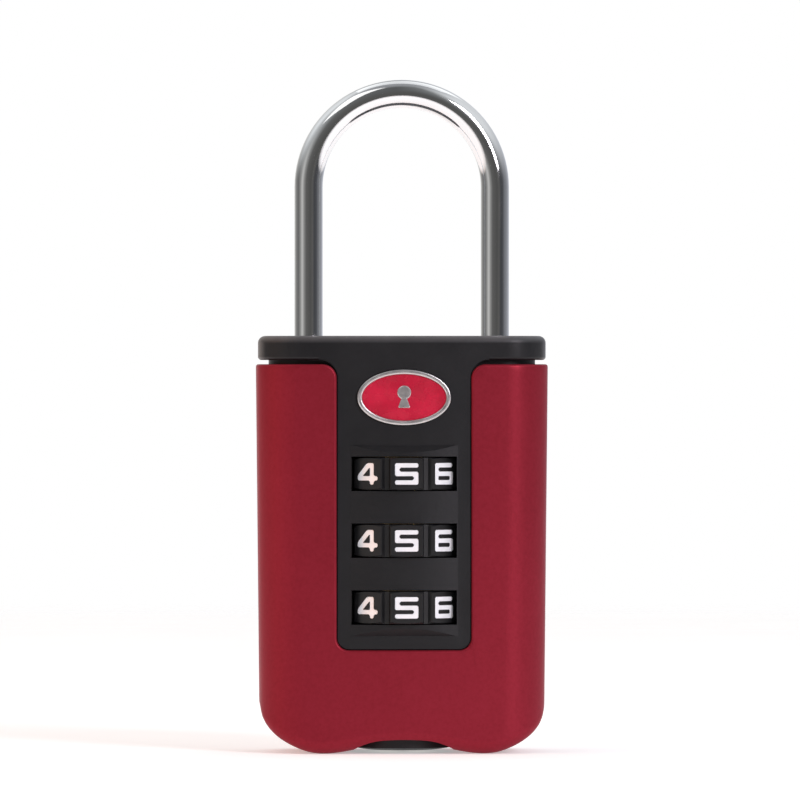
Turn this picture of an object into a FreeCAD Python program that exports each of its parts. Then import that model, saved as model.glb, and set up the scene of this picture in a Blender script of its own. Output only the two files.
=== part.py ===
"""Three-dial combination padlock with a master-key cylinder, for luggage.

Frame: +Z up (the shackle's end), front (the number windows) towards -Y,
origin at the bottom centre of the whole lock. Millimetres.

A painted metal sleeve slips over a black moulded core. The core carries the
top cap, the front panel with three windows, three number dials round a
vertical spindle, the locking bolt, the shackle's spring and the key cylinder.
At rest the shackle is down, the opening combination 5-5-5 is dialled and the
bolt is withdrawn, so that every joint can start from the rest pose.
"""
import FreeCAD, Part
import math
import os

V = FreeCAD.Vector
os.makedirs("parts", exist_ok=True)

# ----------------------------------------------------------------- dimensions
SLEEVE_HW_TOP = 15.5        # sleeve half width at its top edge
SLEEVE_HW_LOW = 15.15       # sleeve half width where the lower corners begin
SLEEVE_TOP = 41.1           # z of the sleeve's top edge
SLEEVE_LOW = 6.2            # z where the lower corners begin
Y_FRONT = -6.7              # apex of the sleeve's crowned front
Y_BACK = 7.6                # the sleeve's flat back
BACK_SKIM = 0.005           # left on the drawn shell and faced off, so that the back is one true plane
CROWN_R = 130.0             # crown radius of the front face
SIDE_R = 22.0               # crown radius of the sides
CORNER_F = 5.0              # rounding of the sleeve's front corners
CORNER_B = 3.4              # rounding of its back corners
BOTTOM_FILLET = 1.4         # rounding round the sleeve's bottom
WALL = 1.05                 # sleeve wall
Y_MID = (Y_FRONT + Y_BACK) / 2

PANEL_Y = Y_FRONT + 0.35    # crowned front of panel and cap
PANEL_HW = 7.0              # front panel half width
PANEL_BOTTOM = 11.05
PANEL_R = 1.2               # lower corners of the panel
FLARE_R = 1.5               # flare where the panel meets the cap
PANEL_GAP = 0.1             # gap between panel and sleeve

CAP_Z0, CAP_Z1 = 41.55, 44.1
CAP_HW = 15.27
NECK_HW = 14.15

DIAL_Z = (29.55, 22.5, 15.45)   # top, middle, bottom
DIAL_Y = -0.7                   # dial axis
DIAL_APOTHEM = 6.9              # axis to a number pad
DIAL_PAD_HW = 1.72              # half width of a number pad
PAD_TURN = 1.9                  # the pads stand a little round from the drum's inner slots
DIAL_H = 3.4
SLOT_R = 7.3
SLOT_H = 3.64
WINDOW_HW = 5.57
BOSS_HW = 5.85                  # raised barrel round the windows
BOSS_Y = -7.1
BOSS_Z0, BOSS_Z1 = 12.45, 32.55

WIRE_R = 1.5                    # shackle wire radius
LEG_X = 9.9                     # shackle leg axis
ARCH_Z = 59.9                   # centre of the shackle's bend
HEEL_Z = 17.5                   # foot of the long leg
TOE_Z = 36.0                    # tip of the short leg
LIFT = 9.5                      # shackle travel

SPINDLE_R = 1.55
SPINDLE_SHIFT = 2.0             # spindle travel between open and locked
BOLT_SHIFT = 1.2                # bolt travel for the same
FIN_R = 2.45
RESET_SHIFT = 0.9               # travel of button, reset plate and clutches

PLUG_R = 3.2                    # key plug
CAM_R = 1.0                     # eccentricity of the cam pin
CYL_R = 4.0                     # cylinder housing

BADGE_Z = 37.6
BADGE_A, BADGE_B = 4.95, 2.95   # badge half axes

# ------------------------------------------------------------------- helpers
def box(x0, x1, y0, y1, z0, z1):
    return Part.makeBox(x1 - x0, y1 - y0, z1 - z0, V(x0, y0, z0))

def cyl(x, y, z0, z1, r):
    return Part.makeCylinder(r, z1 - z0, V(x, y, z0), V(0, 0, 1))

def cyly(x, z, y0, y1, r):
    return Part.makeCylinder(r, y1 - y0, V(x, y0, z), V(0, 1, 0))

def cylx(y, z, x0, x1, r):
    return Part.makeCylinder(r, x1 - x0, V(x0, y, z), V(1, 0, 0))

def arc(a, b, c):
    return Part.Arc(a, b, c).toShape()

def line(a, b):
    return Part.makeLine(a, b)

def fuse(first, *rest):
    return first.multiFuse(list(rest)).removeSplitter()

def cut(first, *rest):
    for r in rest:
        first = first.cut(r)
    return first

def polyface(points):
    return Part.Face(Part.makePolygon(points + [points[0]]))

def save(name, shape):
    """Writes one node, after checking it is made of closed, valid solids."""
    if isinstance(shape, (list, tuple)):
        shape = Part.makeCompound([s for x in shape for s in x.Solids])
    solids = shape.Solids
    ok = bool(solids) and all(s.isValid() and s.Volume > 0 for s in solids)
    out = solids[0] if len(solids) == 1 else Part.makeCompound(solids)
    out.exportStep("parts/" + name + ".step")
    b = out.BoundBox
    print("%-22s solids %2d valid %s vol %9.2f  x %.2f %.2f  y %.2f %.2f  z %.2f %.2f" % (
        name, len(solids), ok, sum(s.Volume for s in solids), b.XMin, b.XMax, b.YMin, b.YMax, b.ZMin, b.ZMax))

def sleeve_hw(z):
    return SLEEVE_HW_LOW + (SLEEVE_HW_TOP - SLEEVE_HW_LOW) * (z - SLEEVE_LOW) / (SLEEVE_TOP - SLEEVE_LOW)

# the sleeve's lower outline, right half, from the side down to the middle
LOWER = [(SLEEVE_HW_LOW, SLEEVE_LOW), (15.07, 5.0), (14.83, 3.9), (14.38, 2.92), (13.65, 2.07),
         (12.5, 1.22), (11.15, 0.55), (9.85, 0.13), (8.4, 0.0), (6.8, 0.13), (5.1, 0.44),
         (2.6, 0.86), (0.0, 1.0)]

def lower_outline(inset, ztop):
    """Prism under whose lower face the body's bottom lies, moved inwards by inset."""
    pts = LOWER + [(-x, z) for x, z in reversed(LOWER[:-1])]
    n = len(pts)
    out = []
    for i, (x, z) in enumerate(pts):
        if i == 0:
            tx, tz = 0.0, -1.0
        elif i == n - 1:
            tx, tz = 0.0, 1.0
        else:
            tx, tz = pts[i + 1][0] - pts[i - 1][0], pts[i + 1][1] - pts[i - 1][1]
        k = math.hypot(tx, tz)
        out.append(V(x + tz / k * inset, -14, z - tx / k * inset))
    out[0].x += 0.02
    out[-1].x -= 0.02
    c = Part.BSplineCurve()
    c.interpolate(Points=out, InitialTangent=V(-0.01, 0, -1), FinalTangent=V(-0.01, 0, 1))
    a, b = out[0], out[-1]
    q = [b, V(b.x - 3, -14, b.z + 0.6), V(b.x - 3, -14, ztop + 1), V(a.x + 3, -14, ztop + 1),
         V(a.x + 3, -14, a.z + 0.6), a]
    w = Part.Wire([c.toShape()] + [line(q[i], q[i + 1]) for i in range(5)])
    return Part.Face(w).extrude(V(0, 28, 0))

def crowned(inset, half=20.0, z0=-5.0, z1=60.0):
    """Solid between the crowned front and the flat back, both moved in by inset."""
    yf, yb = Y_FRONT + inset, Y_BACK - inset
    r = CROWN_R - inset
    s = r - math.sqrt(r * r - half * half)
    w = Part.Wire([arc(V(-half, yf + s, z0), V(0, yf, z0), V(half, yf + s, z0)),
                   line(V(half, yf + s, z0), V(half, yb, z0)),
                   line(V(half, yb, z0), V(-half, yb, z0)),
                   line(V(-half, yb, z0), V(-half, yf + s, z0))])
    return Part.Face(w).extrude(V(0, 0, z1 - z0))

def pillow(inset, ztop, fillet):
    """The body's shape, moved inwards by inset: tapered prism with a shaped bottom."""
    zlow = -1.0
    yb = Y_BACK + BACK_SKIM - inset
    a = plan_section(sleeve_hw(zlow) - inset, Y_FRONT + inset, yb, CORNER_F - 0.9 * inset, CORNER_B - 0.9 * inset, zlow)
    b = plan_section(sleeve_hw(ztop) - inset, Y_FRONT + inset, yb, CORNER_F - 0.9 * inset, CORNER_B - 0.9 * inset, ztop)
    s = Part.makeLoft([a, b], True, True).common(lower_outline(inset, ztop)).Solids[0]
    if fillet:
        s = s.makeFillet(fillet, [e for e in s.Edges if e.BoundBox.ZMax < SLEEVE_LOW + 1.5])
    return s

def u_profile(hw, zb, rb, zt, rt, ztop, y0, y1):
    """Prism of the front cut-out: straight sides, rounded lower corners, flared top."""
    q = math.sqrt(0.5)
    def p(x, z):
        return V(x, y0, z)
    e = [arc(p(-hw - rt, zt), p(-hw - rt + rt * q, zt - rt + rt * q), p(-hw, zt - rt)),
         line(p(-hw, zt - rt), p(-hw, zb + rb)),
         arc(p(-hw, zb + rb), p(-hw + rb - rb * q, zb + rb - rb * q), p(-hw + rb, zb)),
         line(p(-hw + rb, zb), p(hw - rb, zb)),
         arc(p(hw - rb, zb), p(hw - rb + rb * q, zb + rb - rb * q), p(hw, zb + rb)),
         line(p(hw, zb + rb), p(hw, zt - rt)),
         arc(p(hw, zt - rt), p(hw + rt - rt * q, zt - rt + rt * q), p(hw + rt, zt)),
         line(p(hw + rt, zt), p(hw + rt, ztop)),
         line(p(hw + rt, ztop), p(-hw - rt, ztop)),
         line(p(-hw - rt, ztop), p(-hw - rt, zt))]
    return Part.Face(Part.Wire(e)).extrude(V(0, y1 - y0, 0))

def tangent_circle(c1, r1, c2, r2, r):
    """Centre of the corner circle of radius r inside two circles, nearest the +x +y corner."""
    d1, d2 = r1 - r, r2 - r
    dx, dy = c2[0] - c1[0], c2[1] - c1[1]
    d = math.hypot(dx, dy)
    a = (d1 * d1 - d2 * d2 + d * d) / (2 * d)
    h = math.sqrt(d1 * d1 - a * a)
    mx, my = c1[0] + a * dx / d, c1[1] + a * dy / d
    return max([(mx - h * dy / d, my + h * dx / d), (mx + h * dy / d, my - h * dx / d)], key=lambda c: c[0] + c[1])

def plan_section(hw, yf, yb, rf, rb, z, rc=CROWN_R, rs=SIDE_R):
    """Closed plan outline: crowned front, crowned sides, flat back, front corners of radius rf, back corners of rb."""
    ym, hd = (yf + yb) / 2, (yb - yf) / 2
    c2 = (hw - rs, 0.0)                # centre of the side's arc, local to (0, ym)
    def on(c, cx, cy, rad):
        k = math.hypot(cx - c[0], cy - c[1])
        return (c[0] + (cx - c[0]) / k * rad, c[1] + (cy - c[1]) / k * rad)
    def mid(cx, cy, p, q, r):
        k = math.hypot(p[0] + q[0] - 2 * cx, p[1] + q[1] - 2 * cy)
        return (cx + (p[0] + q[0] - 2 * cx) / k * r, cy + (p[1] + q[1] - 2 * cy) / k * r)
    # front corner, worked out with y turned over
    c1 = (0.0, hd - rc)
    fx, fy = tangent_circle(c1, rc, c2, rs, rf)
    ff, fs = on(c1, fx, fy, rc), on(c2, fx, fy, rs)
    fm = mid(fx, fy, ff, fs, rf)
    # back corner: flat line y = hd and the side's arc
    by = hd - rb
    bx = c2[0] + math.sqrt((rs - rb) ** 2 - by * by)
    bb, bs = (bx, hd), on(c2, bx, by, rs)
    bm = mid(bx, by, bb, bs, rb)
    def p(q, sx, sy):
        return V(sx * q[0], ym + sy * q[1], z)
    e = [line(p(bb, -1, 1), p(bb, 1, 1)), arc(p(bb, 1, 1), p(bm, 1, 1), p(bs, 1, 1)),
         arc(p(bs, 1, 1), V(hw, ym, z), p(fs, 1, -1)), arc(p(fs, 1, -1), p(fm, 1, -1), p(ff, 1, -1)),
         arc(p(ff, 1, -1), V(0, yf, z), p(ff, -1, -1)), arc(p(ff, -1, -1), p(fm, -1, -1), p(fs, -1, -1)),
         arc(p(fs, -1, -1), V(-hw, ym, z), p(bs, -1, 1)), arc(p(bs, -1, 1), p(bm, -1, 1), p(bb, -1, 1))]
    return Part.Wire(e)

def coil(x, y, z0, height, r, wire, turns, axis="z"):
    """Compression spring, its wire's outside from z0 to z0 + height. The wire is twelve-sided."""
    h = height - 2 * wire
    helix = Part.makeHelix(h / turns, h, r)
    helix.translate(V(0, 0, wire))
    ring = [V(r + wire * math.cos(math.radians(30 * k + 15)), 0, wire + wire * math.sin(math.radians(30 * k + 15))) for k in range(12)]
    profile = Part.makePolygon(ring + [ring[0]])
    s = Part.Wire(helix.Edges).makePipeShell([profile], True, True)
    s = Part.Solid(Part.Shell(s.Faces)) if not s.Solids else s.Solids[0]
    if axis == "x":
        s.rotate(V(0, 0, 0), V(0, 1, 0), 90)
    elif axis == "y":
        s.rotate(V(0, 0, 0), V(1, 0, 0), -90)
    s.translate(V(x, y, z0))
    return s

def ellipse_prism(a, b, z, y0, y1):
    e = Part.Ellipse(V(0, y0, z), a, b)
    w = Part.Wire([e.toShape()])
    # the ellipse is made in XY about its centre; turn it into XZ
    w.translate(V(0, -y0, -z))
    w.rotate(V(0, 0, 0), V(1, 0, 0), 90)
    w.translate(V(0, y0, z))
    return Part.Face(w).extrude(V(0, y1 - y0, 0))

# ---------------------------------------------------------------- outer sleeve
sleeve = pillow(0.0, SLEEVE_TOP, BOTTOM_FILLET)
sleeve = sleeve.cut(box(-20, 20, Y_BACK, Y_BACK + 2, -5, 60))
sleeve = sleeve.cut(pillow(WALL, SLEEVE_TOP + 0.5, 0.7))
sleeve = sleeve.cut(u_profile(PANEL_HW + PANEL_GAP, PANEL_BOTTOM - PANEL_GAP, PANEL_R + PANEL_GAP,
                              SLEEVE_TOP, FLARE_R, SLEEVE_TOP + 3, -9, -3))
# shallow arch under front and back, where the bottom cap shows
ARCH = [(-5.25, -1.0), (-5.25, 0.45), (-4.3, 0.92), (-3.4, 1.22), (-2.5, 1.38), (-1.2, 1.46), (0, 1.48)]
arch_pts = ARCH + [(-x, z) for x, z in reversed(ARCH[:-1])]
ac = Part.BSplineCurve()
ac.interpolate(Points=[V(x, -9, z) for x, z in arch_pts[1:-1]])
arch_w = Part.Wire([line(V(-5.25, -9, -1), V(-5.25, -9, 0.45)), ac.toShape(),
                    line(V(5.25, -9, 0.45), V(5.25, -9, -1)), line(V(5.25, -9, -1), V(-5.25, -9, -1))])
sleeve = sleeve.cut(Part.Face(arch_w).extrude(V(0, 19, 0)))
sleeve = sleeve.cut(cyl(0, Y_MID, -1, 3, 5.6))
RB_X, RB_Z = 11.0, 21.0                      # reset button
PIN_X, PIN_Z = 11.2, 5.4                     # sleeve pins
sleeve = sleeve.cut(cyly(RB_X, RB_Z, 3, 9, 1.42))
for sx in (-1, 1):
    sleeve = sleeve.cut(cyly(sx * PIN_X, PIN_Z, 3, 9, 0.82))
# break the sharp edges of the cut-out and the top rim
def soften(shape, radius, want):
    edges = [e for e in shape.Edges if want(e)]
    try:
        s = shape.makeFillet(radius, edges)
        if s.isValid() and s.Solids:
            return s, True
    except Exception as err:
        print("fillet refused", err)
    return shape, False

def u_edge(e):
    b = e.BoundBox
    return b.YMax < -5.9 and b.ZMin > 9.0 and abs(b.XMin) < 9.2 and abs(b.XMax) < 9.2 and b.YMax < Y_FRONT + 0.5
sleeve, ok = soften(sleeve, 0.28, u_edge)
print("sleeve cut-out edge softened:", ok)
save("outer_sleeve", sleeve)

# ------------------------------------------------------------------- the core
CORE_INSET = WALL + 0.07
CORE_BACK = 5.45                             # rear face of the core block
core = pillow(CORE_INSET, 41.0, 0.7)
core = core.common(box(-20, 20, -9, CORE_BACK, 2.6, 41.0))
cap = Part.Face(plan_section(CAP_HW, PANEL_Y, 7.3, CORNER_F - 0.3, CORNER_B - 0.2, CAP_Z0)).extrude(V(0, 0, CAP_Z1 - CAP_Z0))
cap_f, ok = soften(cap, 0.75, lambda e: e.BoundBox.ZMin > CAP_Z1 - 1e-3)
if ok:
    cap = cap_f
cap_f, ok2 = soften(cap, 0.35, lambda e: e.BoundBox.ZMax < CAP_Z0 + 1e-3)
if ok2:
    cap = cap_f
print("cap edges softened:", ok, ok2)
neck = Part.Face(plan_section(NECK_HW, -5.3, 6.45, CORNER_F - 1.0, CORNER_B - 0.9, 40.9)).extrude(V(0, 0, CAP_Z0 + 0.6 - 40.9))
panel = u_profile(PANEL_HW, PANEL_BOTTOM, PANEL_R, CAP_Z0 + 0.05, FLARE_R + 0.5, CAP_Z0 + 0.8, -9, -5.0)
panel = panel.common(crowned(PANEL_Y - Y_FRONT, half=18, z0=5))
# raised barrel round the windows, its ends bevelled
s_b = 0.45
yb0 = -5.8
ws = BOSS_HW
edge_y = PANEL_Y + ws * ws / (2 * CROWN_R) + 0.03
boss_face = Part.Face(Part.Wire([arc(V(-ws, edge_y, BOSS_Z0), V(0, BOSS_Y, BOSS_Z0), V(ws, edge_y, BOSS_Z0)),
                                 line(V(ws, edge_y, BOSS_Z0), V(ws, yb0, BOSS_Z0)),
                                 line(V(ws, yb0, BOSS_Z0), V(-ws, yb0, BOSS_Z0)),
                                 line(V(-ws, yb0, BOSS_Z0), V(-ws, edge_y, BOSS_Z0))]))
boss = boss_face.extrude(V(0, 0, BOSS_Z1 - BOSS_Z0))
rise = edge_y - BOSS_Y
for zc, sg in ((BOSS_Z1, 1), (BOSS_Z0, -1)):
    # wedge that bevels the end at about 45 degrees
    w = polyface([V(-8, PANEL_Y + 0.02, zc + sg * 0.001), V(-8, PANEL_Y + 0.02 - 3, zc + sg * 0.001),
                  V(-8, PANEL_Y + 0.02 - 3, zc - sg * 3.1)]).extrude(V(16, 0, 0))
    boss = boss.cut(w)
core = fuse(core, neck, cap, panel, boss)

for zc in DIAL_Z:
    core = core.cut(cyl(0, DIAL_Y, zc - SLOT_H / 2, zc + SLOT_H / 2, SLOT_R))
    core = core.cut(box(-SLOT_R, SLOT_R, DIAL_Y, CORE_BACK + 1, zc - SLOT_H / 2, zc + SLOT_H / 2))
    core = core.cut(box(-WINDOW_HW, WINDOW_HW, -9, DIAL_Y, zc - SLOT_H / 2, zc + SLOT_H / 2))
    # room above each dial for the clutch head and the reset plate's arm
    core = core.cut(cyl(0, DIAL_Y, zc + 1.7, zc + 3.25, 4.35))
    core = core.cut(box(-4.35, 8.45, DIAL_Y, CORE_BACK + 1, zc + 1.7, zc + 3.25))
    core = core.cut(box(0, 8.45, -2.1, DIAL_Y + 1, zc + 1.7, zc + 3.25))
    # room below each dial for the clutch foot and its spring
    core = core.cut(cyl(0, DIAL_Y, zc - 3.4, zc - 1.7, 4.35))
    core = core.cut(box(-4.35, 4.35, DIAL_Y, CORE_BACK + 1, zc - 3.4, zc - 1.7))
core = core.cut(cyl(0, DIAL_Y, 9.0, 37.5, 2.65))              # spindle bore
core = core.cut(cyl(0, DIAL_Y, 9.1, 12.2, 2.95))              # bushing seat
# bolt channel, open to the rear
core = core.cut(box(-8.05, LEG_X, -2.4, CORE_BACK + 1, 36.5, 40.4))
core = core.cut(box(-3.75, 3.0, -2.4, CORE_BACK + 1, 36.3, 40.4))
# shackle bores and the long leg's spring chamber
core = core.cut(cyl(-LEG_X, Y_MID, 20, 46, WIRE_R + 0.06))
core = core.cut(cyl(LEG_X, Y_MID, TOE_Z - 0.1, 46, WIRE_R + 0.08))
core = core.cut(cyl(-LEG_X, Y_MID, 4.0, 28.6, 2.25))
core = core.cut(box(-LEG_X - 2.25, -LEG_X + 2.25, Y_MID, CORE_BACK + 1, 16.0, 28.6))
for sx in (-1, 1):                                             # lead-in at the shackle holes
    core = core.cut(Part.makeCone(WIRE_R + 0.06, WIRE_R + 0.42, 0.36, V(sx * LEG_X, Y_MID, CAP_Z1 - 0.355), V(0, 0, 1)))
# key cylinder bore, release slide channel
core = core.cut(cyl(0, Y_MID, 2.0, 8.2, CYL_R + 0.05))
core = core.cut(box(-5.3, 8.45, -1.75, CORE_BACK + 1, 8.2, 9.2))
# reset plate channel on the right, open to the rear
core = core.cut(box(7.65, 8.45, -2.1, CORE_BACK + 1, 5.9, 33.4))
core = core.cut(box(6.5, 8.45, -2.1, CORE_BACK + 1, 5.9, 9.2))
# reset button cavity
core = core.cut(box(8.3, 13.15, -1.4, CORE_BACK + 1, 18.0, 23.2))
# detent spring channel
core = core.cut(box(-7.45, -4.6, 3.9, CORE_BACK + 1, 12.2, 33.2))
# screw and pin holes
SCREW_X = 10.5
SCREW_Z = (8.0, 34.5)
for sx in (-1, 1):
    for z in SCREW_Z:
        core = core.cut(cyly(sx * SCREW_X, z, 2.85, 7, 0.55))
    core = core.cut(cyly(sx * PIN_X, PIN_Z, 3.3, 8, 0.82))
# badge recess
core = core.cut(ellipse_prism(BADGE_A + 0.04, BADGE_B + 0.04, BADGE_Z, -9, PANEL_Y + 0.35))
save("core_housing", core)

# ------------------------------------------------------------ rear cover plate
cover = pillow(CORE_INSET, 40.85, 0.7).common(box(-14.0, 14.0, 5.5, 6.42, 3.0, 40.85))
for zc in DIAL_Z:
    cover = cover.cut(box(-4.35, 4.35, 5, 7, zc - SLOT_H / 2, zc + SLOT_H / 2))
rib = box(-3.2, 7.4, 1.0, 5.6, 36.8, 40.1)                    # keeps the bolt in its channel
rib2 = box(-4.8, 6.0, 3.1, 5.6, 8.3, 9.1)                     # keeps the release slide in its channel
tube = cyly(RB_X, RB_Z, 2.9, 5.6, 2.0)                        # guide of the reset button
cover = fuse(cover, rib, rib2, tube)
cover = cut(cover, cyly(RB_X, RB_Z, 3.2, 7.5, 1.38), cyly(RB_X, RB_Z, 2.5, 3.5, 0.86))
for sx in (-1, 1):
    for z in SCREW_Z:
        cover = cover.cut(cyly(sx * SCREW_X, z, 5, 7, 0.58))
        cover = cover.cut(Part.makeCone(0.58, 1.02, 0.45, V(sx * SCREW_X, 5.98, z), V(0, 1, 0)))
    cover = cover.cut(cyly(sx * PIN_X, PIN_Z, 5, 7, 0.82))
save("core_rear_cover", cover)

screws = []
for sx in (-1, 1):
    for z in SCREW_Z:
        s = cyly(sx * SCREW_X, z, 2.95, 6.0, 0.5)
        s = s.fuse(Part.makeCone(0.5, 0.94, 0.42, V(sx * SCREW_X, 5.98, z), V(0, 1, 0)))
        s = s.cut(box(sx * SCREW_X - 0.12, sx * SCREW_X + 0.12, 6.2, 6.6, z - 0.5, z + 0.5))
        s = s.cut(box(sx * SCREW_X - 0.5, sx * SCREW_X + 0.5, 6.2, 6.6, z - 0.12, z + 0.12))
        screws.append(s.removeSplitter())
save("cover_screws", screws)

pins = []
for sx in (-1, 1):
    p = cyly(sx * PIN_X, PIN_Z, 3.5, 7.05, 0.8)
    p = p.cut(cyly(sx * PIN_X, PIN_Z, 3.0, 7.5, 0.42)).cut(box(sx * PIN_X - 0.1, sx * PIN_X + 0.1, 3, 7.5, PIN_Z, PIN_Z + 1.2))
    pins.append(p)
save("sleeve_pins", pins)

# -------------------------------------------------------- bottom cap, cylinder
dome = Part.makeSphere(30.0, V(0, Y_MID, 30.02))
bcap = fuse(cyl(0, Y_MID, 0.0, 1.6, 5.5).common(dome), cyl(0, Y_MID, 1.35, 2.5, 5.5))
flange = cyl(0, Y_MID, 1.62, 2.5, 6.0).common(pillow(CORE_INSET, 20, 0.7))
bcap = fuse(bcap, flange)
bcap = cut(bcap, cyl(0, Y_MID, -1, 3, PLUG_R + 0.3), cyl(0, Y_MID, 1.1, 3, CYL_R + 0.05))
bcap = bcap.cut(Part.makeCone(PLUG_R + 0.9, PLUG_R + 0.3, 0.6, V(0, Y_MID, -0.05), V(0, 0, 1)))
save("bottom_cap", bcap)

house = cyl(0, Y_MID, 1.15, 7.55, CYL_R).cut(cyl(0, Y_MID, 0, 9, PLUG_R + 0.05))
save("cylinder_housing", house)

plug = fuse(cyl(0, Y_MID, 0.75, 7.6, PLUG_R), cyl(0, Y_MID, 7.5, 8.05, 2.2))
plug = plug.cut(box(-0.5, 0.5, Y_MID - 2.3, Y_MID + 2.3, 0, 7.2))
plug = plug.cut(box(0.0, 0.95, Y_MID - 1.5, Y_MID - 0.6, 0, 7.2))
plug = plug.cut(box(-0.95, 0.0, Y_MID + 0.7, Y_MID + 1.5, 0, 7.2))
WAFER_Z = (2.3, 3.5, 4.7, 5.9)
for z in WAFER_Z:
    plug = plug.cut(box(-1.55, 1.55, Y_MID - 2.75, Y_MID + 2.75, z - 0.03, z + 0.53))
save("key_plug", plug)
wafers = []
for i, z in enumerate(WAFER_Z):
    w = box(-1.5, 1.5, Y_MID - 2.6, Y_MID + 2.6, z, z + 0.5)
    w = w.cut(box(-1.0, 1.0, Y_MID - 1.5 + 0.15 * i, Y_MID + 1.9, z - 1, z + 1))
    wafers.append(w)
save("plug_wafers", wafers)
a0 = math.radians(45)
cam = cyl(CAM_R * math.sin(a0), Y_MID + CAM_R * math.cos(a0), 8.07, 9.05, 0.5)
cam = fuse(cam, cyl(0, Y_MID, 8.07, 8.22, 2.1))
save("cam_pin_disc", cam)
clip = cyl(0, Y_MID, 7.66, 7.98, 3.5).cut(cyl(0, Y_MID, 7, 9, 2.24)).cut(box(-1.3, 1.3, Y_MID + 0.5, Y_MID + 5, 7, 9))
save("plug_retaining_clip", clip)

# scotch-yoke slide that frees the reset plate when the key turns
rel = box(-3.6, 7.6, -1.5, 2.9, 8.32, 9.08)
rel = rel.cut(box(CAM_R * math.sin(a0) - 0.58, CAM_R * math.sin(a0) + 0.58, Y_MID + 0.1, Y_MID + 1.62, 8, 10))
rel = rel.cut(box(4.2, 8.0, 0.75, 4.0, 8, 10))
save("release_slide", rel)

# ------------------------------------------------------------------- numerals
NUM_W, NUM_H, NUM_T = 2.5, 2.3, 0.5          # width, height and stroke of a numeral
NUM_DEPTH = 0.12                             # depth of the engraving

def numeral(d):
    """Outer outline and holes of a numeral, u to the right and v up from its lower left corner."""
    w, h, t = NUM_W, NUM_H, NUM_T
    a, b = (h - t) / 2, (h + t) / 2
    five = [(0, h), (w, h), (w, h - t), (t, h - t), (t, b), (w, b), (w, 0), (0, 0), (0, t), (w - t, t), (w - t, a), (0, a)]
    six = [(0, h), (w - 0.1, h), (w - 0.1, h - t), (t, h - t), (t, b), (w, b), (w, 0), (0, 0)]
    low = [(t, t), (w - t, t), (w - t, a), (t, a)]
    high = [(t, b), (w - t, b), (w - t, h - t), (t, h - t)]
    rect = [(0, h), (w, h), (w, 0), (0, 0)]
    turn = lambda q: [(w - u, h - v) for u, v in q]
    if d == 0:
        return rect, [[(t, t), (w - t, t), (w - t, h - t), (t, h - t)]]
    if d == 1:
        return [(0.7, h), (1.55, h), (1.55, 0), (1.02, 0), (1.02, h - t), (0.7, h - t)], []
    if d == 2:
        return [(w - u, v) for u, v in reversed(five)], []
    if d == 3:
        return [(0, h), (w, h), (w, 0), (0, 0), (0, t), (w - t, t), (w - t, a), (0.4, a), (0.4, b), (w - t, b), (w - t, h - t), (0, h - t)], []
    if d == 4:
        return [(1.15, h), (2.02, h), (2.02, 0.92), (w, 0.92), (w, 0.43), (2.02, 0.43), (2.02, 0), (1.5, 0), (1.5, 0.43), (0, 0.43), (0, 0.98)], [[(0.66, 0.92), (1.5, 0.92), (1.5, 1.82)]]
    if d == 5:
        return five, []
    if d == 6:
        return six, [low]
    if d == 7:
        return [(0, h), (w, h), (w, h - t - 0.1), (1.3, 0), (0.7, 0), (1.83, h - t), (0, h - t)], []
    if d == 8:
        return rect, [low, high]
    return turn(six), [turn(low)]

def rounded(points, r):
    """The polygon with each corner replaced by a short chamfer of about r."""
    out = []
    n = len(points)
    for i in range(n):
        p, q, s = points[i - 1], points[i], points[(i + 1) % n]
        for o in (p, s):
            k = math.hypot(o[0] - q[0], o[1] - q[1])
            m = min(r, 0.4 * k) / k
            out.append((q[0] + (o[0] - q[0]) * m, q[1] + (o[1] - q[1]) * m))
    return out

def numeral_prism(d, radius, angle, zc, depth):
    """Solid of a numeral sunk by depth into a pad whose face is at radius."""
    a = math.radians(angle)
    ca, sa = math.cos(a), math.sin(a)
    def at(u, v, r):
        t = u - NUM_W / 2
        return V(r * ca - t * sa, DIAL_Y + r * sa + t * ca, zc + v - NUM_H / 2)
    outer, holes = numeral(d)
    r0 = radius - depth
    def wire(q, c):
        pts = [at(u, v, r0) for u, v in rounded(q, c)]
        return Part.makePolygon(pts + [pts[0]])
    f = Part.Face(wire(outer, 0.14))
    for q in holes:
        f = f.cut(Part.Face(wire(q, 0.07)))
    return f.extrude(V(ca, sa, 0) * (depth + 0.3))

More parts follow.
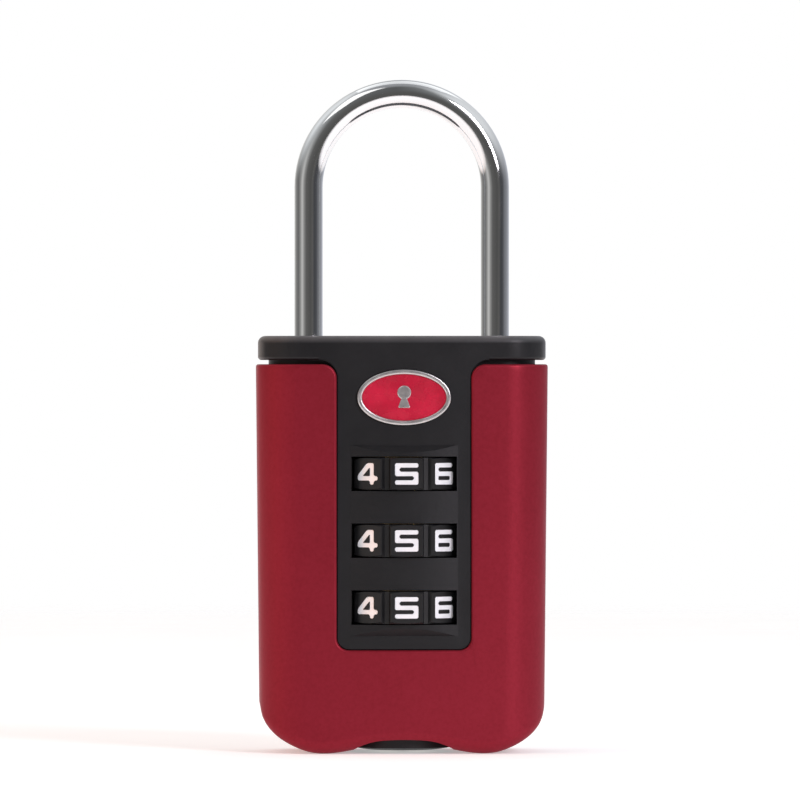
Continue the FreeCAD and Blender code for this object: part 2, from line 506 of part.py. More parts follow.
# ----------------------------------------------------------- dials and clutches
def dial(zc):
    pts, n = [], 10
    r_pad = math.hypot(DIAL_APOTHEM, DIAL_PAD_HW)
    r_groove = DIAL_APOTHEM - 0.32
    body = cyl(0, DIAL_Y, zc - DIAL_H / 2, zc + DIAL_H / 2, r_groove + 0.12)
    pads = []
    for k in range(n):
        a = math.radians(-90 + PAD_TURN + 36 * k)
        ca, sa = math.cos(a), math.sin(a)
        def p(r, t, z):
            return V(r * ca - t * sa, DIAL_Y + r * sa + t * ca, z)
        z0 = zc - DIAL_H / 2
        f = polyface([p(3.0, -0.8, z0), p(DIAL_APOTHEM - 0.45, -DIAL_PAD_HW - 0.12, z0),
                      p(DIAL_APOTHEM - 0.08, -DIAL_PAD_HW, z0), p(DIAL_APOTHEM, -DIAL_PAD_HW + 0.1, z0),
                      p(DIAL_APOTHEM, DIAL_PAD_HW - 0.1, z0), p(DIAL_APOTHEM - 0.08, DIAL_PAD_HW, z0),
                      p(DIAL_APOTHEM - 0.45, DIAL_PAD_HW + 0.12, z0), p(3.0, 0.8, z0)])
        pads.append(f.extrude(V(0, 0, DIAL_H)))
    body = fuse(body, *pads)
    # bevelled rims at the pads' tops and bottoms
    env = fuse(cyl(0, DIAL_Y, zc - DIAL_H / 2 + 0.2, zc + DIAL_H / 2 - 0.2, 8),
               Part.makeCone(DIAL_APOTHEM - 0.05, DIAL_APOTHEM + 0.2, 0.2, V(0, DIAL_Y, zc - DIAL_H / 2), V(0, 0, 1)),
               Part.makeCone(DIAL_APOTHEM + 0.2, DIAL_APOTHEM - 0.05, 0.2, V(0, DIAL_Y, zc + DIAL_H / 2 - 0.2), V(0, 0, 1)))
    body = body.common(env)
    body = body.cut(cyl(0, DIAL_Y, zc - 3, zc + 3, 4.25))
    body = body.cut(cyl(0, DIAL_Y, zc - 3, zc - 0.9, 4.95))
    for k in range(n):
        g = box(4.0, 4.85, -0.5, 0.5, zc - 2, zc + 2)
        g.rotate(V(0, 0, 0), V(0, 0, 1), -90 + 36 * k)
        g.translate(V(0, DIAL_Y, 0))
        body = body.cut(g)
    body = body.removeSplitter()
    # engraved numbers, counting up to the right; 5 faces the front
    return body.cut([numeral_prism((5 + k) % n, DIAL_APOTHEM, -90 + PAD_TURN + 36 * k, zc, NUM_DEPTH) for k in range(n)])

def clutch(zc):
    c = cyl(0, DIAL_Y, zc - 1.7, zc + 2.0, 4.15)
    for k in range(5):
        g = box(3.9, 4.72, -0.42, 0.42, zc - 0.8, zc - 0.05)
        g.rotate(V(0, 0, 0), V(0, 0, 1), -90 + 72 * k)
        g.translate(V(0, DIAL_Y, 0))
        c = c.fuse(g)
    c = c.cut(cyl(0, DIAL_Y, zc - 3, zc + 1.2, 2.75))
    c = c.cut(cyl(0, DIAL_Y, zc, zc + 3, 1.75))
    c = c.cut(box(-0.62, 0.62, DIAL_Y - 2.62, DIAL_Y, zc + 1.0, zc + 3))     # the gate
    return c.removeSplitter()

for name, zc in zip(("top", "middle", "bottom"), DIAL_Z):
    save("number_dial_" + name, dial(zc))
    save("clutch_" + name, clutch(zc))

for name, zc in zip(("top", "middle", "bottom"), DIAL_Z):
    save("clutch_spring_" + name, coil(0, DIAL_Y, zc - 3.36, 1.62, 3.5, 0.16, 2.5))

# -------------------------------------------------------------------- spindle
sp = cyl(0, DIAL_Y, 11.25, 36.2, SPINDLE_R)
sp = sp.makeChamfer(0.3, [e for e in sp.Edges if e.BoundBox.ZMax < 11.26])
for zc in DIAL_Z:
    sp = sp.fuse(box(-0.5, 0.5, DIAL_Y - FIN_R, DIAL_Y - 1.0, zc + 2.2, zc + 3.0))
sp = sp.fuse(box(-1.3, 1.3, DIAL_Y - 0.5, DIAL_Y + 0.5, 36.0, 40.1))
PIN_TOP = 39.4
sp = sp.cut(cyly(0, PIN_TOP, DIAL_Y - 2, DIAL_Y + 2, 0.41))
save("spindle", sp.removeSplitter())
save("spindle_cross_pin", cyly(0, PIN_TOP, DIAL_Y - 1.55, DIAL_Y + 1.55, 0.4))
save("spindle_bushing", cyl(0, DIAL_Y, 9.3, 12.7, 2.92).cut(cyl(0, DIAL_Y, 9, 13, SPINDLE_R + 0.05)))

# --------------------------------------------------------------- locking bolt
bolt = fuse(box(-3.5, 2.4, -2.3, -1.3, 36.6, 40.2), box(-3.5, 2.4, -0.1, 0.9, 36.6, 40.2),
            box(-3.5, -2.75, -2.3, 0.9, 36.6, 40.2), box(1.6, 8.3, -2.3, 0.9, 38.4, 40.0))
bolt = bolt.cut(polyface([V(8.4, -3, 39.3), V(7.3, -3, 38.2), V(7.3, -3, 38.0), V(8.4, -3, 38.0)]).extrude(V(0, 5, 0)))
bolt = bolt.cut(polyface([V(8.4, -3, 39.3), V(7.6, -3, 40.1), V(8.4, -3, 40.1)]).extrude(V(0, 5, 0)))
# inclined slots: the cross pin goes (-BOLT_SHIFT, -SPINDLE_SHIFT) in the bolt's frame
L = math.hypot(BOLT_SHIFT, SPINDLE_SHIFT)
ux, uz = -BOLT_SHIFT / L, -SPINDLE_SHIFT / L
hw = 0.46
a, b = (0.0, PIN_TOP), (-BOLT_SHIFT, PIN_TOP - SPINDLE_SHIFT)
slot = polyface([V(a[0] - uz * hw, -4, a[1] + ux * hw), V(a[0] + uz * hw, -4, a[1] - ux * hw),
                 V(b[0] + uz * hw, -4, b[1] - ux * hw), V(b[0] - uz * hw, -4, b[1] + ux * hw)]).extrude(V(0, 8, 0))
slot = fuse(slot, cyly(a[0], a[1], -4, 4, hw), cyly(b[0], b[1], -4, 4, hw))
bolt = bolt.cut(slot)
save("locking_bolt", bolt.removeSplitter())
save("bolt_spring", coil(-8.0, DIAL_Y, 38.6, 4.4, 0.85, 0.15, 7, axis="x"))

# -------------------------------------------------------------------- shackle
def shackle():
    heel = cyl(-LEG_X, Y_MID, HEEL_Z, ARCH_Z, WIRE_R)
    heel = heel.makeChamfer(0.25, [e for e in heel.Edges if e.BoundBox.ZMax < HEEL_Z + 1e-6])
    toe = cyl(LEG_X, Y_MID, TOE_Z, ARCH_Z, WIRE_R)
    toe = toe.makeChamfer(0.6, [e for e in toe.Edges if e.BoundBox.ZMax < TOE_Z + 1e-6])
    disc = Part.Face(Part.Wire([Part.makeCircle(WIRE_R, V(LEG_X, Y_MID, ARCH_Z), V(0, 0, 1))]))
    bend = disc.revolve(V(0, Y_MID, ARCH_Z), V(0, -1, 0), 180)
    s = fuse(heel, toe, bend)
    # locking notch on the short leg: square above, 45 degrees below
    n = polyface([V(7.0, -4, 40.3), V(9.6, -4, 40.3), V(9.6, -4, 38.25), V(7.0, -4, 35.65)]).extrude(V(0, 8, 0))
    s = s.cut(n)
    # groove of the retaining ring on the long leg
    s = s.cut(cyl(-LEG_X, Y_MID, 18.3, 18.9, 2.2).cut(cyl(-LEG_X, Y_MID, 18, 19, 1.15)))
    return s
save("shackle", shackle())
ring = cyl(-LEG_X, Y_MID, 18.35, 18.85, 2.1).cut(cyl(-LEG_X, Y_MID, 18, 19, 1.2)).cut(box(-LEG_X - 0.9, -LEG_X + 0.9, Y_MID + 0.4, Y_MID + 3, 18, 19))
save("shackle_retaining_ring", ring)
save("shackle_spring", coil(-LEG_X, Y_MID, 4.05, HEEL_Z - 4.1, 1.2, 0.22, 11))

# ----------------------------------------------------------- reset mechanism
rp = box(7.75, 8.35, -2.0, 0.6, 6.9, 33.0)
rp = rp.fuse(box(6.75, 8.35, -1.4, 0.6, 7.3, 8.2))                        # foot under the release slide
for zc in DIAL_Z:
    arm = box(0.0, 8.35, DIAL_Y - 1.2, DIAL_Y + 1.2, zc + 2.7, zc + 3.2)
    plate = cyl(0, DIAL_Y, zc + 2.7, zc + 3.2, 3.9)
    sleeve_r = cyl(0, DIAL_Y, zc + 2.05, zc + 2.75, 3.9)
    rp = rp.fuse(arm.fuse(plate).fuse(sleeve_r).cut(cyl(0, DIAL_Y, zc, zc + 4, 2.62)))
YT, ZT = 1.2, RB_Z                                                       # 45 degree contact plane y + z = YT + ZT
tab = box(8.3, 11.9, -1.2, 2.1, 19.2, 22.0)
e = 0.03
tab = tab.cut(polyface([V(8, YT + 6, ZT - 6 - e), V(8, YT - 6, ZT + 6 - e), V(8, YT + 6, ZT + 6)]).extrude(V(6, 0, 0)))
rp = rp.fuse(tab)
save("reset_plate", rp.removeSplitter())
rb = fuse(cyly(RB_X, RB_Z, 5.0, 6.95, 1.3), cyly(RB_X, RB_Z, 0.2, 5.1, 0.8))
rb = rb.cut(polyface([V(8, YT + 8, ZT - 8 + e), V(8, YT - 8, ZT + 8 + e), V(8, YT - 8, ZT - 8)]).extrude(V(6, 0, 0)))
save("reset_button", rb.removeSplitter())
save("reset_spring", coil(RB_X, 3.22, RB_Z, 1.74, 1.08, 0.12, 4, axis="y"))

# ------------------------------------------------------------- dial detent
det = box(-7.3, -5.0, 5.15, 5.4, 12.4, 33.0)
for zc in DIAL_Z:
    nose = cyl(-5.35, 4.65, zc - 1.1, zc + 1.1, 0.4)
    web = box(-5.65, -5.05, 4.65, 5.2, zc - 1.1, zc + 1.1)
    det = fuse(det, nose, web)
save("dial_detent_spring", det)

# -------------------------------------------------------------------- badge
bz = ellipse_prism(BADGE_A, BADGE_B, BADGE_Z, PANEL_Y - 0.3, PANEL_Y + 0.33)
bz = bz.cut(ellipse_prism(BADGE_A - 0.5, BADGE_B - 0.5, BADGE_Z, PANEL_Y - 1, PANEL_Y + 0.12))
bz, ok = soften(bz, 0.14, lambda e: e.BoundBox.YMax < PANEL_Y - 0.299)
print("bezel softened", ok)
save("badge_bezel", bz)
inlay = ellipse_prism(BADGE_A - 0.52, BADGE_B - 0.52, BADGE_Z, PANEL_Y - 0.12, PANEL_Y + 0.1)
save("badge_inlay", inlay)
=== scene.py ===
"""Looks of the combination padlock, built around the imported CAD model. Metres, the CAD's own frame."""
import bpy
import bmesh
import math
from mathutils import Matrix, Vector

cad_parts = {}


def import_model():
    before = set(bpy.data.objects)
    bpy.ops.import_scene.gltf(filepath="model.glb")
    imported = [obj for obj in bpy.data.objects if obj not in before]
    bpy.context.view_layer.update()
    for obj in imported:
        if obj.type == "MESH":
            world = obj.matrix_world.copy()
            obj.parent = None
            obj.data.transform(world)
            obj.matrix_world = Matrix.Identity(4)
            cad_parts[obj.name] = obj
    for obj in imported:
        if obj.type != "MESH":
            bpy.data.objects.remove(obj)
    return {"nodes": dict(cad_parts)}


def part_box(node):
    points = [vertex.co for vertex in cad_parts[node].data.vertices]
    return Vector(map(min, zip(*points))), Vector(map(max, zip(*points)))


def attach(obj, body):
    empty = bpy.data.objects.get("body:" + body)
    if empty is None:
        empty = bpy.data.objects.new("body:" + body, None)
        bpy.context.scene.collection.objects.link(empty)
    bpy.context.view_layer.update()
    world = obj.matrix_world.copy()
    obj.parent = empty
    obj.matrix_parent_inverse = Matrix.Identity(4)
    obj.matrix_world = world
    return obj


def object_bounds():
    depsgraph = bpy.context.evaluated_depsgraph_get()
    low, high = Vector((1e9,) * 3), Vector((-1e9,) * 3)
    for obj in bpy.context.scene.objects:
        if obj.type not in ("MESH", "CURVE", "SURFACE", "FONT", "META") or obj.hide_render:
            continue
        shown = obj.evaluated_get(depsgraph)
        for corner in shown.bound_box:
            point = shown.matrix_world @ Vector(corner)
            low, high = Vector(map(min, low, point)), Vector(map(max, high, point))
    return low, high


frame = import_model()
cad_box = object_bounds()
N = frame["nodes"]
MM = 0.001

scene = bpy.context.scene
scene.view_settings.view_transform = "Standard"
scene.view_settings.look = "None"
scene.view_settings.exposure = 0.0
scene.view_settings.gamma = 1.0


# ------------------------------------------------------------------ node tools
class Mat:
    """A small wrapper that builds one node material."""

    def __init__(self, name):
        self.m = bpy.data.materials.new(name)
        self.m.use_nodes = True
        self.t = self.m.node_tree
        self.t.nodes.clear()
        self.out = self.add("ShaderNodeOutputMaterial")
        self.p = self.add("ShaderNodeBsdfPrincipled")
        self.link(self.p, "BSDF", self.out, "Surface")
        self.co = self.add("ShaderNodeTexCoord")

    def add(self, kind, **values):
        n = self.t.nodes.new(kind)
        for k, v in values.items():
            setattr(n, k, v)
        return n

    def link(self, a, sa, b, sb):
        self.t.links.new(a.outputs[sa], b.inputs[sb])

    def set(self, **values):
        for k, v in values.items():
            self.p.inputs[k.replace("_", " ")].default_value = v

    def mapped(self, scale=(1, 1, 1), rotation=(0, 0, 0), location=(0, 0, 0)):
        n = self.add("ShaderNodeMapping")
        n.inputs["Scale"].default_value = scale
        n.inputs["Rotation"].default_value = rotation
        n.inputs["Location"].default_value = location
        self.link(self.co, "Object", n, "Vector")
        return n

    def noise(self, scale, detail=3.0, rough=0.5, vector=None, distortion=0.0):
        n = self.add("ShaderNodeTexNoise")
        n.inputs["Scale"].default_value = scale
        n.inputs["Detail"].default_value = detail
        n.inputs["Roughness"].default_value = rough
        n.inputs["Distortion"].default_value = distortion
        self.link(vector or self.mapped(), "Vector", n, "Vector")
        return n

    def voronoi(self, scale, feature="F1", vector=None, randomness=1.0):
        n = self.add("ShaderNodeTexVoronoi", feature=feature)
        n.inputs["Scale"].default_value = scale
        n.inputs["Randomness"].default_value = randomness
        self.link(vector or self.mapped(), "Vector", n, "Vector")
        return n

    def ramp(self, source, socket, stops, ease="LINEAR"):
        n = self.add("ShaderNodeValToRGB")
        n.color_ramp.interpolation = ease
        e = n.color_ramp.elements
        while len(e) < len(stops):
            e.new(0.5)
        for el, (pos, col) in zip(e, stops):
            el.position = pos
            el.color = (*col, 1.0) if len(col) == 3 else col
        self.link(source, socket, n, "Fac")
        return n

    def range(self, source, socket, a, b, c, d):
        n = self.add("ShaderNodeMapRange")
        n.inputs["From Min"].default_value = a
        n.inputs["From Max"].default_value = b
        n.inputs["To Min"].default_value = c
        n.inputs["To Max"].default_value = d
        self.link(source, socket, n, "Value")
        return n

    def mix(self, fac, a, b, blend="MIX"):
        """fac, a, b are (node, socket) or constants."""
        n = self.add("ShaderNodeMix", data_type="RGBA", blend_type=blend)
        for value, i in ((fac, 0), (a, 6), (b, 7)):
            if isinstance(value, tuple) and len(value) == 2 and hasattr(value[0], "outputs"):
                self.t.links.new(value[0].outputs[value[1]], n.inputs[i])
            elif i == 0:
                n.inputs[0].default_value = value
            else:
                n.inputs[i].default_value = (*value, 1.0)
        return n

    def math(self, op, a, b=None):
        n = self.add("ShaderNodeMath", operation=op)
        for i, v in enumerate((a, b)):
            if v is None:
                continue
            if isinstance(v, tuple):
                self.t.links.new(v[0].outputs[v[1]], n.inputs[i])
            else:
                n.inputs[i].default_value = v
        return n

    def bump(self, source, socket, strength, distance, normal=None):
        n = self.add("ShaderNodeBump")
        n.inputs["Strength"].default_value = strength
        n.inputs["Distance"].default_value = distance
        self.link(source, socket, n, "Height")
        if normal is not None:
            self.link(normal, "Normal", n, "Normal")
        self.link(n, "Normal", self.p, "Normal")
        return n


def red_paint():
    m = Mat("satin_red_paint")
    m.set(Metallic=0.45, IOR=1.45, Specular_IOR_Level=0.28)
    m.p.inputs["Specular Tint"].default_value = (0.85, 0.45, 0.50, 1.0)
    cloud = m.noise(55, 4, 0.55)
    fine = m.noise(2600, 2, 0.6)
    a = m.ramp(cloud, "Fac", [(0.3, (0.245, 0.0158, 0.0285)), (0.72, (0.272, 0.0183, 0.0335))])
    b = m.ramp(fine, "Fac", [(0.28, (0.93, 0.90, 0.90)), (0.5, (1, 1, 1)), (0.78, (1.06, 1.12, 1.12))])
    c = m.mix(1.0, (a, "Color"), (b, "Color"), "MULTIPLY")
    # flakes in the lacquer catch the light
    v = m.voronoi(5200)
    f = m.ramp(v, "Distance", [(0.0, (1.25, 1.35, 1.35)), (0.16, (1, 1, 1)), (1.0, (1, 1, 1))])
    c2 = m.mix(0.6, (c, 2), (f, "Color"), "MULTIPLY")
    m.t.links.new(c2.outputs[2], m.p.inputs["Base Color"])
    smear = m.noise(160, 5, 0.62, m.mapped((1, 1, 0.35)))
    r = m.range(smear, "Fac", 0.25, 0.75, 0.37, 0.46)
    m.link(r, "Result", m.p, "Roughness")
    peel = m.noise(900, 3, 0.5)
    b1 = m.bump(peel, "Fac", 0.25, 0.00004)
    m.bump(fine, "Fac", 0.12, 0.00002, b1)
    return m.m


def moulded(name, dark, light, rough=(0.40, 0.52), grain=2300, depth=0.00003, strength=0.35, spec=0.34, edge_highlight=None):
    m = Mat(name)
    m.set(IOR=1.49, Specular_IOR_Level=spec)
    cloud = m.noise(90, 4, 0.6)
    c = m.ramp(cloud, "Fac", [(0.3, dark), (0.75, light)])
    dust = m.noise(3800, 2, 0.7)
    d = m.ramp(dust, "Fac", [(0.62, (1, 1, 1)), (0.8, (1.5, 1.5, 1.52))])
    c2 = m.mix(0.7, (c, "Color"), (d, "Color"), "MULTIPLY")
    if edge_highlight:
        # painted highlight: the top edge, above height z, and the ends, beyond half width x, are painted lighter where
        # light catches them, broken up by noise
        (z0, z1), (x0, x1), highlight_color = edge_highlight
        sep = m.add("ShaderNodeSeparateXYZ")
        m.link(m.co, "Object", sep, "Vector")
        up = m.range(sep, "Z", z0, z1, 0.0, 1.0)
        side = m.range(m.math("ABSOLUTE", (sep, "X")), "Value", x0, x1, 0.0, 0.8)
        highlight_breakup = m.range(m.noise(420, 4, 0.65), "Fac", 0.25, 0.7, 0.72, 1.0)
        highlight_mask = m.math("MULTIPLY", (m.math("MAXIMUM", (up, "Result"), (side, "Result")), "Value"), (highlight_breakup, "Result"))
        c2 = m.mix((highlight_mask, "Value"), (c2, 2), highlight_color)
    m.t.links.new(c2.outputs[2], m.p.inputs["Base Color"])
    r = m.range(m.noise(240, 4, 0.6), "Fac", 0.25, 0.75, *rough)
    m.link(r, "Result", m.p, "Roughness")
    v = m.voronoi(grain, "SMOOTH_F1")
    b1 = m.bump(v, "Distance", strength, depth)
    m.bump(dust, "Fac", 0.15, 0.00002, b1)
    return m.m


def metal(name, lo, hi, rough=(0.22, 0.36), stretch=(1, 1, 1), scale=700, depth=0.00001, strength=0.25, aniso=0.0):
    m = Mat(name)
    m.set(Metallic=1.0, Anisotropic=aniso)
    s = m.noise(scale, 5, 0.65, m.mapped(stretch))
    c = m.ramp(s, "Fac", [(0.25, lo), (0.75, hi)])
    m.link(c, "Color", m.p, "Base Color")
    r = m.range(m.noise(scale * 0.6, 4, 0.6, m.mapped(stretch)), "Fac", 0.25, 0.75, *rough)
    m.link(r, "Result", m.p, "Roughness")
    m.bump(s, "Fac", strength, depth)
    return m.m


def chrome():
    m = Mat("polished_chrome")
    m.set(Metallic=1.0, IOR=2.2)
    haze = m.noise(120, 4, 0.6, m.mapped((1, 1, 0.25)))
    c = m.ramp(haze, "Fac", [(0.3, (0.80, 0.815, 0.83)), (0.7, (0.88, 0.89, 0.90))])
    m.link(c, "Color", m.p, "Base Color")
    marks = m.noise(1500, 3, 0.55, m.mapped((1.6, 1.6, 0.1)))
    r = m.range(marks, "Fac", 0.3, 0.8, 0.045, 0.11)
    m.link(r, "Result", m.p, "Roughness")
    wave = m.noise(260, 2, 0.5, m.mapped((1, 1, 0.4)))
    b1 = m.bump(wave, "Fac", 0.10, 0.00002)
    m.bump(marks, "Fac", 0.04, 0.000004, b1)
    return m.m


def white_ink():
    m = Mat("white_number_paint")
    m.set(IOR=1.5)
    c = m.ramp(m.noise(900, 4, 0.6), "Fac", [(0.3, (0.84, 0.86, 0.89)), (0.7, (0.93, 0.95, 0.98))])
    m.link(c, "Color", m.p, "Base Color")
    r = m.range(m.noise(1500, 3, 0.6), "Fac", 0.3, 0.7, 0.42, 0.6)
    m.link(r, "Result", m.p, "Roughness")
    m.bump(m.noise(3000, 2, 0.6), "Fac", 0.3, 0.00001)
    return m.m


def enamel():
    m = Mat("badge_red_enamel")
    m.set(IOR=1.5, Coat_Weight=0.6, Coat_Roughness=0.06)
    c = m.ramp(m.noise(420, 4, 0.6), "Fac", [(0.3, (0.42, 0.006, 0.03)), (0.7, (0.60, 0.012, 0.05))])
    m.link(c, "Color", m.p, "Base Color")
    r = m.range(m.noise(800, 3, 0.5), "Fac", 0.3, 0.7, 0.2, 0.32)
    m.link(r, "Result", m.p, "Roughness")
    m.bump(m.noise(1100, 2, 0.5), "Fac", 0.12, 0.00002)
    return m.m


RED = red_paint()
# painted highlight on the cap's top edge and ends: height band, half-width band and the lighter highlight colour
CAP_PAINTED_HIGHLIGHT = ((0.0433, 0.0440), (0.0146, 0.0152), (0.11, 0.112, 0.118))
BLACK = moulded("black_moulded_plastic", (0.0068, 0.0069, 0.0082), (0.0108, 0.0110, 0.0130), (0.36, 0.48), edge_highlight=CAP_PAINTED_HIGHLIGHT)
BLACK_IN = moulded("black_inner_plastic", (0.008, 0.008, 0.009), (0.014, 0.014, 0.015), (0.5, 0.62))
DIAL = moulded("dial_black_plastic", (0.0060, 0.0062, 0.0070), (0.0105, 0.0108, 0.0120), (0.28, 0.40), 3200, 0.000012, 0.2, 0.45)
CHROME = chrome()
STEEL = metal("plain_steel", (0.42, 0.42, 0.43), (0.58, 0.58, 0.59), (0.28, 0.42))
WIRE = metal("drawn_spring_wire", (0.26, 0.26, 0.27), (0.42, 0.42, 0.43), (0.25, 0.38), (1, 1, 3), 900)
NICKEL = metal("nickel_plated", (0.50, 0.48, 0.43), (0.66, 0.63, 0.57), (0.18, 0.30), (1, 1, 1), 500)
BRASS = metal("turned_brass", (0.52, 0.36, 0.13), (0.70, 0.50, 0.21), (0.22, 0.36), (1, 1, 6), 800)
BEZEL = metal("satin_silver", (0.62, 0.60, 0.60), (0.78, 0.76, 0.76), (0.26, 0.40), (1, 1, 1), 1400, 0.000006)
INK = white_ink()
ENAMEL = enamel()

LOOK = {
    "outer_sleeve": RED, "core_housing": BLACK, "core_rear_cover": BLACK_IN, "bottom_cap": BLACK, "reset_button": BLACK,
    "number_dial_top": DIAL, "number_dial_middle": DIAL, "number_dial_bottom": DIAL,
    "shackle": CHROME, "key_plug": NICKEL, "badge_bezel": BEZEL, "badge_inlay": ENAMEL,
    "cylinder_housing": BRASS, "spindle_bushing": BRASS, "plug_wafers": BRASS,
    "clutch_top": BRASS, "clutch_middle": BRASS, "clutch_bottom": BRASS,
    "cover_screws": STEEL, "sleeve_pins": STEEL, "spindle": STEEL, "spindle_cross_pin": STEEL, "locking_bolt": STEEL,
    "cam_pin_disc": STEEL, "release_slide": STEEL, "reset_plate": STEEL,
}


# --------------------------------------------- smooth shading of the CAD meshes
def smoothing_group(angle):
    g = bpy.data.node_groups.new("smooth_by_angle", "GeometryNodeTree")
    g.interface.new_socket("Geometry", in_out="INPUT", socket_type="NodeSocketGeometry")
    g.interface.new_socket("Geometry", in_out="OUTPUT", socket_type="NodeSocketGeometry")
    i, o = g.nodes.new("NodeGroupInput"), g.nodes.new("NodeGroupOutput")
    merge = g.nodes.new("GeometryNodeMergeByDistance")
    merge.inputs["Distance"].default_value = 4e-7
    edge = g.nodes.new("GeometryNodeInputMeshEdgeAngle")
    cmp = g.nodes.new("FunctionNodeCompare")
    cmp.data_type = "FLOAT"
    cmp.operation = "LESS_EQUAL"
    cmp.inputs["B"].default_value = angle
    all_faces = g.nodes.new("GeometryNodeSetShadeSmooth")
    all_faces.domain = "FACE"
    edges = g.nodes.new("GeometryNodeSetShadeSmooth")
    edges.domain = "EDGE"
    g.links.new(i.outputs[0], merge.inputs["Geometry"])
    g.links.new(merge.outputs[0], all_faces.inputs["Geometry"])
    g.links.new(all_faces.outputs[0], edges.inputs["Geometry"])
    g.links.new(edge.outputs["Unsigned Angle"], cmp.inputs["A"])
    g.links.new(cmp.outputs[0], edges.inputs["Shade Smooth"])
    g.links.new(edges.outputs[0], o.inputs[0])
    return g


SMOOTH = smoothing_group(math.radians(28))


def dress(o, material):
    o.data.materials.clear()
    o.data.materials.append(material)
    for p in o.data.polygons:
        p.material_index = 0
        p.use_smooth = True
    mod = o.modifiers.new("smooth_by_angle", "NODES")
    mod.node_group = SMOOTH
    w = o.modifiers.new("weighted_normal", "WEIGHTED_NORMAL")
    w.keep_sharp = True
    w.weight = 60


for name, o in N.items():
    if o.data.has_custom_normals:
        with bpy.context.temp_override(object=o, active_object=o, selected_objects=[o]):
            bpy.context.view_layer.objects.active = o
            bpy.ops.mesh.customdata_custom_splitnormals_clear()
    dress(o, LOOK.get(name, WIRE))


# ------------------------------------------------------------------- numerals
DIAL_Z = (29.55, 22.5, 15.45)
DIAL_Y = -0.7
PAD_TURN = 1.9
NUM_W, NUM_H, NUM_T = 2.5, 2.3, 0.5
NUM_FLOOR = 6.78
NUM_FACE = 6.85
SHRINK = 0.012


def numeral(d):
    """Outer outline and holes of a numeral, u to the right and v up from its lower left corner."""
    w, h, t = NUM_W, NUM_H, NUM_T
    a, b = (h - t) / 2, (h + t) / 2
    five = [(0, h), (w, h), (w, h - t), (t, h - t), (t, b), (w, b), (w, 0), (0, 0), (0, t), (w - t, t), (w - t, a), (0, a)]
    six = [(0, h), (w - 0.1, h), (w - 0.1, h - t), (t, h - t), (t, b), (w, b), (w, 0), (0, 0)]
    low = [(t, t), (w - t, t), (w - t, a), (t, a)]
    high = [(t, b), (w - t, b), (w - t, h - t), (t, h - t)]
    rect = [(0, h), (w, h), (w, 0), (0, 0)]

    def turn(q):
        return [(w - u, h - v) for u, v in q]

    if d == 0:
        return rect, [[(t, t), (w - t, t), (w - t, h - t), (t, h - t)]]
    if d == 1:
        return [(0.7, h), (1.55, h), (1.55, 0), (1.02, 0), (1.02, h - t), (0.7, h - t)], []
    if d == 2:
        return [(w - u, v) for u, v in reversed(five)], []
    if d == 3:
        return [(0, h), (w, h), (w, 0), (0, 0), (0, t), (w - t, t), (w - t, a), (0.4, a), (0.4, b), (w - t, b), (w - t, h - t), (0, h - t)], []
    if d == 4:
        return [(1.15, h), (2.02, h), (2.02, 0.92), (w, 0.92), (w, 0.43), (2.02, 0.43), (2.02, 0), (1.5, 0), (1.5, 0.43), (0, 0.43), (0, 0.98)], [[(0.66, 0.92), (1.5, 0.92), (1.5, 1.82)]]
    if d == 5:
        return five, []
    if d == 6:
        return six, [low]
    if d == 7:
        return [(0, h), (w, h), (w, h - t - 0.1), (1.3, 0), (0.7, 0), (1.83, h - t), (0, h - t)], []
    if d == 8:
        return rect, [low, high]
    return turn(six), [turn(low)]


def rounded(points, r):
    out = []
    n = len(points)
    for i in range(n):
        p, q, s = points[i - 1], points[i], points[(i + 1) % n]
        for o in (p, s):
            k = math.hypot(o[0] - q[0], o[1] - q[1])
            m = min(r, 0.4 * k) / k
            out.append((q[0] + (o[0] - q[0]) * m, q[1] + (o[1] - q[1]) * m))
    return out


def shrunk(points, e):
    """Polygon moved towards its own material by e; outlines run clockwise, holes anticlockwise."""
    out = []
    n = len(points)
    area = sum(points[i - 1][0] * points[i][1] - points[i][0] * points[i - 1][1] for i in range(n))
    sg = -1 if area > 0 else 1
    for i in range(n):
        p, q, s = Vector(points[i - 1]), Vector(points[i]), Vector(points[(i + 1) % n])
        a, b = (q - p).normalized(), (s - q).normalized()
        na, nb = Vector((a.y, -a.x)) * sg, Vector((b.y, -b.x)) * sg
        k = (na + nb)
        k = k / max(k.length_squared / 2, 1e-6)
        out.append(tuple(q + k * e))
    return out


